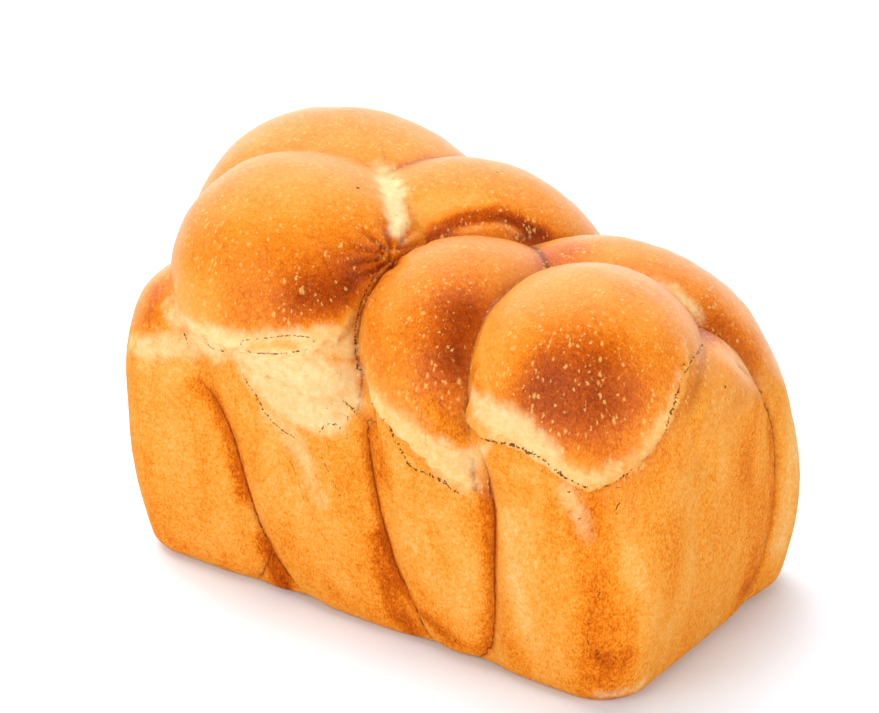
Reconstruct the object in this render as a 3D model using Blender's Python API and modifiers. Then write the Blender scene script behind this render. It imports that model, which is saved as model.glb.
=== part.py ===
"""A braided challah loaf baked in a small loaf tin, as one solid.

Thick dough strands rise from the base, cross over the top and dive under their neighbours. Below the rim
the tin has pressed them into straight sides, so that only shallow creases show where they meet.
Lengths are in millimetres and are scaled to metres where a mesh is made. X runs along the loaf and Z is up.
"""

import bmesh
import bpy
import numpy as np
from mathutils import Matrix

MM = 0.001

# The tin that formed the lower part
BASE_LENGTH = 179.0
BASE_WIDTH = 104.5
BELLY = 5.0
BELLY_HEIGHT = 42.0
RIM_HEIGHT = 66.0
OVERHANG = 5.5
OVERHANG_RISE = 26.0
CORNER_RADIUS = 16.0
BASE_EDGE_RADIUS = 5.0
CORE_INSET = 0.8
CORE_FOOT = 6.0
CORE_HEIGHT = 80.0
CORE_CORNER_RADIUS = 30.0
CORE_SHOULDER_RADIUS = 22.0

# Each strand as (x, y, z, radius), from where it leaves the base to where it dives under its neighbour
STRANDS = {
    "near_end": [(-64, -30, 2, 29), (-67, -33, 28, 30), (-70, -33, 52, 30), (-71.5, -31.5, 70, 25.5)],
    "near_left": [
        (-6, -27, 2, 30), (-14, -32, 28, 31), (-23, -32, 54, 32), (-38, -26, 79, 34),
        (-51, -20, 91.5, 35.5), (-37, -14, 93, 32.2), (-21, -12, 87, 24), (-6, -6, 78, 18),
    ],
    "near_middle": [
        (34, -32, 2, 24), (29, -35, 28, 25), (26, -36, 56, 25), (19, -32, 78, 26),
        (14, -22, 87, 26), (20, -8, 88, 23), (32, 2, 85, 18),
    ],
    "near_right": [
        (66, -28, 2, 30), (66, -29, 28, 31), (63, -29, 54, 31), (59, -23, 83, 34.5), (62, -13, 74, 26),
        (64, -6, 62, 20),
    ],
    "far_corner": [(-63, 28, 2, 29), (-67, 30, 34, 30), (-69, 28, 62, 30), (-64, 22, 76, 30)],
    "far_end": [
        (-64, 12, 2, 30), (-68, 13, 30, 31), (-70, 12, 60, 31), (-70, 9, 86, 34.5), (-62, 16, 91.5, 39.5),
        (-42, 22, 91, 35), (-28, 30, 77, 30), (-20, 34, 46, 29), (-14, 32, 2, 28),
    ],
    "far_middle": [
        (-36, 0, 91, 22), (-17, 13, 98, 26), (-2, 24, 93, 27), (10, 33, 72, 27), (18, 36, 40, 27),
        (24, 34, 2, 27),
    ],
    "far_right": [
        (24, 2, 88, 20), (40, 13, 87.2, 24), (57, 19, 81, 26), (66, 25, 64, 27), (69, 31, 36, 28),
        (69, 30, 2, 28),
    ],
    "end_tuck": [
        (74, -16, 80, 22), (76, -4, 76, 22), (75, 6, 62, 25), (70, 4, 42, 32), (66, 3, 2, 33),
    ],
}
STEPS_PER_KEY = 5
FAR = 12.0

# Creases pressed into the walls where two strands meet: (along the wall, height, depth), top down
WALL_CREASES = {
    "near": [
        [
            (-58, 70, 0), (-52, 62, 1.8), (-46, 50, 2.6), (-42, 37, 3), (-38, 24, 3), (-32, 11, 3),
            (-22, 0, 3),
        ],
        [(-36, 27, 0), (-34.5, 18, 1.4), (-35, 12, 1.8), (-37.5, 7, 1.8), (-41, 1, 1.4)],
        [(3, 82, 0), (4, 69, 2.5), (5.5, 56, 3), (8.5, 42, 3), (12.5, 28, 3), (18, 15, 3), (25, 0, 3)],
        [(44, 72, 0), (46.5, 62, 2.5), (48.5, 50, 3), (48.5, 25, 3), (46.5, 9, 3), (42.5, 0, 3)],
    ],
    "right": [[(8, 90, 2), (20, 78, 3), (27, 62, 3), (30, 45, 3), (30, 28, 3), (28, 14, 3), (22, 0, 2)]],
    "far": [
        [(-32, 84, 2), (-37, 60, 3), (-34, 35, 3), (-28, 14, 3), (-24, 0, 3)],
        [(14, 84, 2), (9, 60, 3), (11, 35, 3), (18, 14, 3), (22, 0, 3)],
        [(50, 78, 2), (45, 55, 3), (45, 30, 3), (49, 0, 3)],
    ],
    "left": [[(-10, 88, 2), (-16, 60, 3), (-15, 30, 3), (-9, 0, 3)]],
}
CREASE_WIDTH = 1.6
SHOULDER_SHARE = 0.45
SHOULDER_WIDTH = 7.0

# Rims where the domed crust ends above the pressed walls: (x, y, z, height of the step), dome on the left
RIMS = {
    "near_left": [
        (-72, -52, 93, 0), (-66, -55, 89, 1.2), (-58, -58, 85, 1.8), (-46, -59, 82, 2), (-34, -59, 82, 2),
        (-24, -58, 84, 1.8), (-15, -53, 86, 1.4), (-10, -44, 90, 0.8), (-10, -36, 96, 0),
    ],
    "near_middle": [
        (1, -49, 86, 0), (4, -52, 81, 1), (11, -57, 75, 1.8), (20, -58, 69.5, 2), (30, -58, 64, 2),
        (41, -56, 59, 0.5),
    ],
    "near_right": [
        (38, -52, 86, 0), (40, -54, 78, 1.6), (54, -59, 77.5, 2), (67, -58, 75.5, 2), (79, -53, 68.5, 2),
        (88, -42, 76, 2), (91.5, -32, 87, 2), (91, -24, 95, 1.2), (86, -18, 103, 0),
    ],
}
RIM_STEP = 0.8
RIM_REACH = 7.0
RIM_UNDERCUT = 0.5
UNDERCUT_REACH = 3.0

# Hollows where the rising crust tore and paler crumb shows: (x, y, z, depth)
TEARS = {
    "near_left": [
        (-50, -58, 78, 0.5), (-34, -58, 76, 1.6), (-18, -57, 74, 2), (-6, -54, 78, 1.6), (-5, -48, 84, 0),
    ],
    "near_middle": [(4, -52, 84, 0.4), (14, -58, 78, 0.8), (24, -58, 73, 0.8), (36, -57, 67, 0.4)],
    "near_right": [(41, -54, 83, 0.6), (54, -58, 84, 1.2), (66, -58, 81, 0.9), (76, -55, 75, 0)],
}
TEAR_WIDTH = 5.0

# Where a strand dives under its neighbour and its crust puckers: (x, y, z), the way out of the crust, the
# folds around, their depth and how far they run
PUCKERS = [
    ((-9, -22, 107), (0.7, -0.4, 0.6), 11, 1.2, 9),
    ((80, 8, 94), (0.7, -0.3, 0.65), 13, 0.8, 9),
    ((37, -48, 88), (0.3, -0.8, 0.5), 9, 0.7, 7),
]
PUCKER_CORE = 3.0

# How softly the shapes run into each other
STRAND_BLEND = 1.0
TIN_BLEND = 2.0

# Mesh fineness
VOXEL = 1.7
SETTLING_ROUNDS = 8
SETTLING_STEP = 0.9
TRIANGLES = 9600
BASE_SNAP = 0.3

# Surface
CRUST_COLOUR = (0.52, 0.22, 0.06, 1.0)
CRUST_ROUGHNESS = 0.5


def smooth_line(keys):
    """Points along a Catmull-Rom curve through the keys, radius included."""
    keys = np.array(keys, float)
    padded = np.vstack([2 * keys[0] - keys[1], keys, 2 * keys[-1] - keys[-2]])
    points = []
    for before, start, end, after in zip(padded, padded[1:], padded[2:], padded[3:]):
        for t in np.arange(STEPS_PER_KEY) / STEPS_PER_KEY:
            points.append(
                0.5 * (
                    2 * start
                    + (end - before) * t
                    + (2 * before - 5 * start + 4 * end - after) * t**2
                    + (3 * start - before - 3 * end + after) * t**3
                )
            )
    return np.array(points + [keys[-1]])


def strand_field(points, line):
    """Distance from each point to a strand's skin, negative inside, and the direction straight out of it."""
    distance = np.full(len(points), FAR)
    outward = np.zeros((len(points), 3))
    reach = line[:, 3].max() + FAR
    near = np.flatnonzero(
        (points > line[:, :3].min(axis=0) - reach).all(axis=1)
        & (points < line[:, :3].max(axis=0) + reach).all(axis=1)
    )
    local = points[near]
    best, best_offset = np.full(len(near), FAR), np.ones((len(near), 3))
    for start, end in zip(line, line[1:]):
        along = end[:3] - start[:3]
        share = np.clip((local - start[:3]) @ along / (along @ along), 0, 1)
        offset = local - start[:3] - share[:, None] * along
        skin = np.linalg.norm(offset, axis=1) - (start[3] + share * (end[3] - start[3]))
        closer = skin < best
        best[closer] = skin[closer]
        best_offset[closer] = offset[closer]
    distance[near] = best
    outward[near] = best_offset / np.linalg.norm(best_offset, axis=1, keepdims=True)
    return distance, outward


def blend_max(a, b, width):
    """The larger of two fields, with the corner between them rounded over this width."""
    (a_distance, a_outward), (b_distance, b_outward) = a, b
    share = np.clip(0.5 + 0.5 * (a_distance - b_distance) / width, 0, 1)
    distance = a_distance * share + b_distance * (1 - share) + width * share * (1 - share)
    return distance, a_outward * share[:, None] + b_outward * (1 - share[:, None])


def blend_min(a, b, width):
    distance, outward = blend_max((-a[0], -a[1]), (-b[0], -b[1]), width)
    return -distance, -outward


def rounded(first, second, radius):
    """The field of a corner between two faces, rounded to this radius."""
    (a_distance, a_outward), (b_distance, b_outward) = first, second
    a_share = np.maximum(a_distance + radius, 0)
    b_share = np.maximum(b_distance + radius, 0)
    length = np.hypot(a_share, b_share)
    distance = np.where(length > 0, length - radius, np.maximum(a_distance, b_distance))
    inside = (length == 0) | (a_share == 0) | (b_share == 0)
    a_weight = np.where(inside, a_distance >= b_distance, a_share / np.maximum(length, 1e-9))
    b_weight = np.where(inside, a_distance < b_distance, b_share / np.maximum(length, 1e-9))
    return distance, a_outward * a_weight[:, None] + b_outward * b_weight[:, None]


def face_field(points, axis, half_size):
    """The field of a pair of opposite faces across one axis."""
    outward = np.zeros((len(points), 3))
    outward[:, axis] = np.sign(points[:, axis])
    return np.abs(points[:, axis]) - half_size, outward


def belly(height):
    """How far the walls stand out past the base at this height."""
    return BELLY * (1 - (1 - np.clip(height / BELLY_HEIGHT, 0, 1)) ** 2)


def tin_field(points, corner_radius=CORNER_RADIUS, inset=0.0, foot=0.0):
    """The inside of the tin, whose walls curve out a little and whose corners and base edges are round.
    Above the rim the dough can bulge over it."""
    height = points[:, 2]
    lean = belly(height) - inset
    rise = np.clip((height - RIM_HEIGHT) / OVERHANG_RISE, 0, 1)
    lean += OVERHANG * rise**2 * (3 - 2 * rise)
    walls = rounded(
        face_field(points, 0, BASE_LENGTH / 2 + lean),
        face_field(points, 1, BASE_WIDTH / 2 + lean),
        corner_radius,
    )
    base = -height - foot, np.tile((0.0, 0.0, -1.0), (len(points), 1))
    return rounded(walls, base, BASE_EDGE_RADIUS)


def on_wall(side, along, height):
    """A point on one of the tin's walls."""
    lean = belly(height)
    across = {
        "near": (along, -BASE_WIDTH / 2 - lean), "far": (along, BASE_WIDTH / 2 + lean),
        "right": (BASE_LENGTH / 2 + lean, along), "left": (-BASE_LENGTH / 2 - lean, along),
    }[side]
    return (*across, height)


def crease_lines():
    return [
        smooth_line([(*on_wall(side, along, height), depth) for along, height, depth in keys])
        for side, creases in WALL_CREASES.items()
        for keys in creases
    ]


def beside_line(points, outward, line, reach):
    """For the points within reach of a line in space: their indices, the distance to it along the crust,
    positive on its left, and the line's strength there."""
    close = np.flatnonzero(
        (points > line[:, :3].min(axis=0) - reach).all(axis=1)
        & (points < line[:, :3].max(axis=0) + reach).all(axis=1)
    )
    local, normal = points[close], outward[close]
    nearest, side, strength = (np.full(len(close), value) for value in (np.inf, 1.0, 0.0))
    for start, end in zip(line, line[1:]):
        along = end[:3] - start[:3]
        share = np.clip((local - start[:3]) @ along / (along @ along), 0, 1)
        offset = local - start[:3] - share[:, None] * along
        offset -= (offset * normal).sum(axis=1, keepdims=True) * normal
        away = np.linalg.norm(offset, axis=1)
        closer = away < nearest
        left = (offset * np.cross(normal, along)).sum(axis=1)
        nearest = np.where(closer, away, nearest)
        side = np.where(closer, np.sign(left), side)
        strength = np.where(closer, start[3] + share * (end[3] - start[3]), strength)
    return close, nearest * side, strength


def crease_relief(points, outward, creases):
    """How deep the creases go in at each point: a narrow cut between two broad soft shoulders."""
    relief = np.zeros(len(points))
    for line in creases:
        close, away, depth = beside_line(points, outward, line, 3 * SHOULDER_WIDTH)
        narrow = np.exp(-((away / CREASE_WIDTH) ** 2)) * (1 - SHOULDER_SHARE)
        broad = np.exp(-((away / SHOULDER_WIDTH) ** 2)) * SHOULDER_SHARE
        relief[close] = np.minimum(relief[close], -depth * (narrow + broad))
    return relief


def tear_relief(points, outward, tears):
    relief = np.zeros(len(points))
    for line in tears:
        close, away, depth = beside_line(points, outward, line, 3 * TEAR_WIDTH)
        relief[close] -= depth * np.exp(-((away / TEAR_WIDTH) ** 2))
    return relief


def pucker_relief(points):
    """Folds in the crust that fan out from the places where strands dive."""
    relief = np.zeros(len(points))
    for centre, axis, folds, depth, reach in PUCKERS:
        offset = points - centre
        first = np.cross(axis, (0, 0, 1))
        second = np.cross(axis, first) / np.linalg.norm(axis)
        radius = np.linalg.norm(offset, axis=1)
        turn = np.arctan2(offset @ second, offset @ first)
        fold = 0.5 - 0.5 * np.cos(folds * (turn + 0.25 * np.sin(2 * turn) + 0.02 * radius))
        relief -= depth * fold * np.minimum(radius / PUCKER_CORE, 1) * np.exp(-((radius / reach) ** 2))
    return relief


def rim_relief(points, outward, rims):
    """How far the domed crust stands out above its rims, with a small undercut below them."""
    relief = np.zeros(len(points))
    for line in rims:
        close, away, height = beside_line(points, outward, line, 3 * RIM_REACH)
        above = np.exp(-np.maximum(away, 0) / RIM_REACH)
        below = -RIM_UNDERCUT * np.exp(np.minimum(away, 0) / UNDERCUT_REACH)
        share = 0.5 + 0.5 * np.tanh(away / RIM_STEP)
        relief[close] += height * (above * share + below * (1 - share))
    return relief


def crust_lines():
    """The lines of the strands and of everything pressed into or standing out of their crust."""
    return {
        "strands": [smooth_line(keys) for keys in STRANDS.values()],
        "creases": crease_lines(),
        "rims": [smooth_line(keys) for keys in RIMS.values()],
        "tears": [smooth_line(keys) for keys in TEARS.values()],
    }


def loaf_field(points, lines):
    """The loaf's crust: strands over a core, all held in by the tin."""
    top = points[:, 2] - CORE_HEIGHT, np.tile((0.0, 0.0, 1.0), (len(points), 1))
    core = tin_field(points, CORE_CORNER_RADIUS, CORE_INSET, CORE_FOOT)
    dough = rounded(core, top, CORE_SHOULDER_RADIUS)
    for line in lines["strands"]:
        dough = blend_min(dough, strand_field(points, line), STRAND_BLEND)
    distance, outward = blend_max(dough, tin_field(points), TIN_BLEND)
    relief = (
        crease_relief(points, outward, lines["creases"])
        + rim_relief(points, outward, lines["rims"])
        + tear_relief(points, outward, lines["tears"])
        + pucker_relief(points)
    )
    return distance - relief, outward


def strand_tube(line):
    """A strand as a mesh tube, made from a curve."""
    curve = bpy.data.curves.new("strand", "CURVE")
    curve.dimensions = "3D"
    curve.bevel_depth = MM
    curve.bevel_resolution = 6
    curve.use_fill_caps = True
    spline = curve.splines.new("POLY")
    spline.points.add(len(line) - 1)
    for point, (x, y, z, radius) in zip(spline.points, line):
        point.co = (x * MM, y * MM, z * MM, 1)
        point.radius = radius
    guide = bpy.data.objects.new("strand", curve)
    bpy.context.scene.collection.objects.link(guide)
    graph = bpy.context.evaluated_depsgraph_get()
    mesh = bpy.data.meshes.new_from_object(guide.evaluated_get(graph))
    bpy.data.objects.remove(guide)
    return mesh


def dough_blank(strands, voxel):
    """The core block and all strands, fused by a voxel remesh."""
    shape = bmesh.new()
    size = (BASE_LENGTH - 2 * CORE_INSET, BASE_WIDTH - 2 * CORE_INSET, CORE_HEIGHT)
    bmesh.ops.create_cube(shape, size=1, matrix=Matrix.Diagonal((*size, 1)))
    bmesh.ops.translate(shape, verts=shape.verts, vec=(0, 0, CORE_HEIGHT / 2))
    bmesh.ops.bevel(
        shape, geom=shape.edges[:], offset=CORNER_RADIUS, segments=3, profile=0.5, affect="EDGES"
    )
    bmesh.ops.scale(shape, verts=shape.verts, vec=(MM, MM, MM))
    for line in strands:
        shape.from_mesh(strand_tube(line))
        x, y, z, radius = line[-1] * MM
        bmesh.ops.create_icosphere(
            shape, subdivisions=3, radius=radius, matrix=Matrix.Translation((x, y, z))
        )
    bmesh.ops.remove_doubles(shape, verts=shape.verts, dist=0.01 * MM)
    mesh = bpy.data.meshes.new("loaf")
    shape.to_mesh(mesh)
    shape.free()
    blank = bpy.data.objects.new("loaf", mesh)
    bpy.context.scene.collection.objects.link(blank)
    fuse = blank.modifiers.new("fuse", "REMESH")
    fuse.mode = "VOXEL"
    fuse.voxel_size = voxel * MM
    apply_modifiers(blank)
    return blank


def apply_modifiers(obj):
    graph = bpy.context.evaluated_depsgraph_get()
    obj.data = bpy.data.meshes.new_from_object(obj.evaluated_get(graph))
    obj.modifiers.clear()


def settle(obj, lines):
    """Moves every vertex straight onto the loaf's crust."""
    points = np.empty(len(obj.data.vertices) * 3)
    obj.data.vertices.foreach_get("co", points)
    points = points.reshape(-1, 3) / MM
    points[:, 2] = np.maximum(points[:, 2], 0)
    for _ in range(SETTLING_ROUNDS):
        distance, outward = loaf_field(points, lines)
        points -= outward * distance[:, None] * SETTLING_STEP
    obj.data.vertices.foreach_set("co", (points * MM).ravel())
    obj.data.update()


def build(voxel=VOXEL):
    lines = crust_lines()
    loaf = dough_blank(lines["strands"], voxel)
    settle(loaf, lines)
    return loaf


def thin_out(obj, triangles):
    """Keeps about this many triangles, with the fewest where the crust is flattest."""
    faces = sum(len(face.vertices) - 2 for face in obj.data.polygons)
    thin = obj.modifiers.new("thin", "DECIMATE")
    thin.ratio = triangles / faces
    apply_modifiers(obj)


def stand_on_floor(obj):
    """Flattens the base and puts its middle at the origin."""
    mesh = obj.data
    points = np.empty(len(mesh.vertices) * 3)
    mesh.vertices.foreach_get("co", points)
    points = points.reshape(-1, 3)
    points[:, 2] = np.where(points[:, 2] < BASE_SNAP * MM, 0, points[:, 2])
    middle = (points.min(axis=0) + points.max(axis=0)) / 2
    points[:, :2] -= middle[:2]
    mesh.vertices.foreach_set("co", points.ravel())
    mesh.update()


def crust_material():
    material = bpy.data.materials.new("crust")
    material.use_nodes = True
    surface = material.node_tree.nodes["Principled BSDF"]
    surface.inputs["Base Color"].default_value = CRUST_COLOUR
    surface.inputs["Roughness"].default_value = CRUST_ROUGHNESS
    surface.inputs["Metallic"].default_value = 0.0
    return material


def main():
    for obj in list(bpy.data.objects):
        bpy.data.objects.remove(obj)
    loaf = build()
    thin_out(loaf, TRIANGLES)
    stand_on_floor(loaf)
    loaf.data.materials.clear()
    loaf.data.materials.append(crust_material())
    challah = bpy.data.collections.new("challah")
    bpy.context.scene.collection.children.link(challah)
    bpy.context.scene.collection.objects.unlink(loaf)
    challah.objects.link(loaf)


main()
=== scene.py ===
import math

import bmesh
import bpy
import numpy as np
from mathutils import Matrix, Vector, noise


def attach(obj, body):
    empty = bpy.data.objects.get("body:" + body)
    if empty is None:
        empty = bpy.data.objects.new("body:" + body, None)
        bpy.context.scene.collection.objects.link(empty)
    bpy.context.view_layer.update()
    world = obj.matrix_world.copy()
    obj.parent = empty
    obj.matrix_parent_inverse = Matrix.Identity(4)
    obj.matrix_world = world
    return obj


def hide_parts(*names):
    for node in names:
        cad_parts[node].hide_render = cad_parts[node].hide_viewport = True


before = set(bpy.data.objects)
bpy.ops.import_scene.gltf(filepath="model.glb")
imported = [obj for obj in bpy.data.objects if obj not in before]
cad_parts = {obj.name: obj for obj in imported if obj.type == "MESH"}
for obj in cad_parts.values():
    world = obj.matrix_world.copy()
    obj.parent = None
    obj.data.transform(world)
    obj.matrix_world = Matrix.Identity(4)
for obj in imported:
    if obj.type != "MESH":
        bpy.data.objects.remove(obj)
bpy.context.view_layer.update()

mm = 0.001
print("frame loaded:", sorted(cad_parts))


def fromHex(code):
    # sRGB hex to linear, as the shader wants it
    channels = [int(code[i:i + 2], 16) / 255 for i in (1, 3, 5)]
    return tuple(c / 12.92 if c <= 0.04045 else ((c + 0.055) / 1.055) ** 2.4 for c in channels) + (1.0,)


def addNode(tree, kind, settings=None, inputs=None, out=0):
    # one node with its settings; an input is a plain value, or another node's output to link
    node = tree.nodes.new("ShaderNode" + kind)
    for name, value in (settings or {}).items():
        setattr(node, name, value)
    for socket, value in (inputs or {}).items():
        if isinstance(value, bpy.types.NodeSocket):
            tree.links.new(value, node.inputs[socket])
        else:
            node.inputs[socket].default_value = value
    return node.outputs[out] if out is not None else node


def addObject(name, data):
    added = bpy.data.objects.new(name, data)
    bpy.context.scene.collection.objects.link(added)
    return added


# settings that many nodes share
times, timesPlus = {"operation": "MULTIPLY"}, {"operation": "MULTIPLY_ADD"}
minus, minusClamped = {"operation": "SUBTRACT"}, {"operation": "SUBTRACT", "use_clamp": True}
absolute = {"operation": "ABSOLUTE"}
smoothed = {"interpolation_type": "SMOOTHSTEP"}
ofColours = {"data_type": "RGBA"}

# The dough, in millimetres. Strands are (x, y, z, radius) from where they leave the base to where they dive
# under a neighbour; the tin below presses them into straight walls.
dough = {
    "baseLength": 179.0, "baseWidth": 104.5, "belly": 5.0, "bellyHeight": 42.0, "rimHeight": 66.0,
    "overhang": 5.5, "overhangRise": 26.0, "cornerRadius": 16.0, "baseEdgeRadius": 5.0,
    "coreInset": 0.8, "coreFoot": 6.0, "coreHeight": 80.0, "coreShoulder": 22.0, "coreCorner": 30.0,
    "strandBlend": 0.8, "tinBlend": 2.0, "stepsPerKey": 5, "far": 12.0,
    "middle": (-1.45, -0.858, 0.0),   # middle of the loaf's outline, which the frame puts at its origin
    "strands": {
        "nearEnd": [(-64, -30, 2, 29), (-67, -33, 28, 30), (-70, -33, 52, 30), (-71.5, -31.5, 70, 25.5)],
        "nearLeft": [(-6, -27, 2, 30), (-14, -32, 28, 31), (-23, -32, 54, 32), (-38, -26, 79, 34),
                     (-51, -20, 91.5, 35.5), (-37, -14, 93, 32.2), (-21, -12, 87, 24), (-6, -6, 78, 18)],
        "nearMiddle": [(34, -32, 2, 24), (29, -35, 28, 25), (26, -36, 56, 25), (19, -32, 78, 26),
                       (13, -22, 88.5, 26.5), (19, -8, 89, 22.5), (30, 1, 85, 18)],
        "nearRight": [(66, -28, 2, 30), (66, -29, 28, 31), (63, -29, 54, 31), (59, -23, 83, 34.5),
                      (62, -13, 74, 26), (64, -6, 62, 20)],
        "farCorner": [(-63, 28, 2, 29), (-67, 30, 34, 30), (-69, 28, 62, 30), (-64, 22, 76, 30)],
        "farEnd": [(-64, 12, 2, 30), (-68, 13, 30, 31), (-70, 12, 60, 31), (-70, 9, 86, 34.5),
                   (-62, 16, 91.5, 39.5), (-42, 22, 91, 35), (-28, 30, 77, 30), (-20, 34, 46, 29),
                   (-14, 32, 2, 28)],
        "farMiddle": [(-36, 0, 91, 22), (-17, 13, 98, 26), (-2, 24, 93, 27), (10, 33, 72, 27),
                      (18, 36, 40, 27), (24, 34, 2, 27)],
        "farRight": [(24, 2, 88, 20), (40, 13, 87.2, 24), (57, 19, 81, 26), (66, 25, 64, 27),
                     (69, 31, 36, 28), (69, 30, 2, 28)],
        "endTuck": [(74, -16, 80, 22), (76, -4, 76, 22), (75, 6, 62, 25), (70, 4, 42, 32),
                    (66, 3, 2, 33)],
    },
}

# What is pressed into the crust or stands out of it, in millimetres. The last number of a point is how deep
# or how high it is there.
crustMarks = {
    # by wall: along the wall, height, depth
    "creases": {
        "near": [[(-58, 70, 0), (-52, 62, 1.8), (-46, 50, 2.6), (-42, 37, 3), (-38, 24, 3), (-32, 11, 3),
                  (-22, 0, 3)],
                 [(-36, 27, 0), (-34.5, 18, 1.4), (-35, 12, 1.8), (-37.5, 7, 1.8), (-41, 1, 1.4)],
                 [(3, 82, 0), (4, 69, 2.5), (5.5, 56, 3), (8.5, 42, 3), (12.5, 28, 3), (18, 15, 3),
                  (25, 0, 3)],
                 [(44, 72, 0), (46.5, 62, 2.5), (48.5, 50, 3), (48.5, 25, 3), (46.5, 9, 3), (42.5, 0, 3)]],
        "right": [[(8, 90, 2), (20, 78, 3), (27, 62, 3), (30, 45, 3), (30, 28, 3), (28, 14, 3), (22, 0, 2)]],
        "far": [[(-32, 84, 2), (-37, 60, 3), (-34, 35, 3), (-28, 14, 3), (-24, 0, 3)],
                [(14, 84, 2), (9, 60, 3), (11, 35, 3), (18, 14, 3), (22, 0, 3)],
                [(50, 78, 2), (45, 55, 3), (45, 30, 3), (49, 0, 3)]],
        "left": [[(-10, 88, 2), (-16, 60, 3), (-15, 30, 3), (-9, 0, 3)]],
    },
    "creaseWidth": 1.4, "shoulderShare": 0.45, "shoulderWidth": 7.0,
    # edges where the risen dome ends above the pressed wall, with the dome on the left
    "rims": [
        [(-72, -52, 93, 0), (-66, -55, 89, 1.2), (-58, -58, 85, 1.8), (-46, -59, 82, 2), (-34, -59, 82, 2),
         (-24, -58, 84, 1.8), (-15, -53, 86, 1.4), (-10, -44, 90, 0.8), (-10, -36, 96, 0)],
        [(1, -49, 86, 0), (4, -52, 81, 1), (11, -57, 75, 1.8), (20, -58, 69.5, 2), (30, -58, 64, 2),
         (41, -56, 59, 0.5)],
        [(38, -52, 86, 0), (40, -54, 78, 1.6), (54, -59, 77.5, 2), (67, -58, 75.5, 2), (79, -53, 68.5, 2),
         (88, -42, 76, 2), (91.5, -32, 87, 2), (91, -24, 95, 1.2), (86, -18, 103, 0)],
    ],
    "rimGain": 1.3, "rimStep": 0.6, "rimReach": 7.0, "rimUndercut": 0.6, "undercutReach": 2.5,
    "rimRaggedness": 1.1,
    # hollows where the crust tore as it rose
    "tears": [
        [(-50, -58, 78, 0.5), (-34, -58, 76, 1.6), (-18, -57, 74, 2), (-6, -54, 78, 1.6), (-5, -48, 84, 0)],
        [(4, -52, 84, 0.4), (14, -58, 78, 0.8), (24, -58, 73, 0.8), (36, -57, 67, 0.4)],
        [(41, -54, 83, 0.6), (54, -58, 84, 1.2), (66, -58, 81, 0.9), (76, -55, 75, 0)],
    ],
    "tearWidth": 5.0,
    # folds where a strand dives: centre, way out of the crust, folds around, depth, reach
    "puckers": [((-9, -22, 107), (0.7, -0.4, 0.6), 11, 2.2, 10), ((80, 8, 94), (0.7, -0.3, 0.65), 13, 0.9, 9),
                ((37, -48, 88), (0.3, -0.8, 0.5), 9, 0.7, 7)],
    "puckerCore": 3.0, "puckerUnevenness": 0.25, "puckerTwist": 0.02,
}

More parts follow.
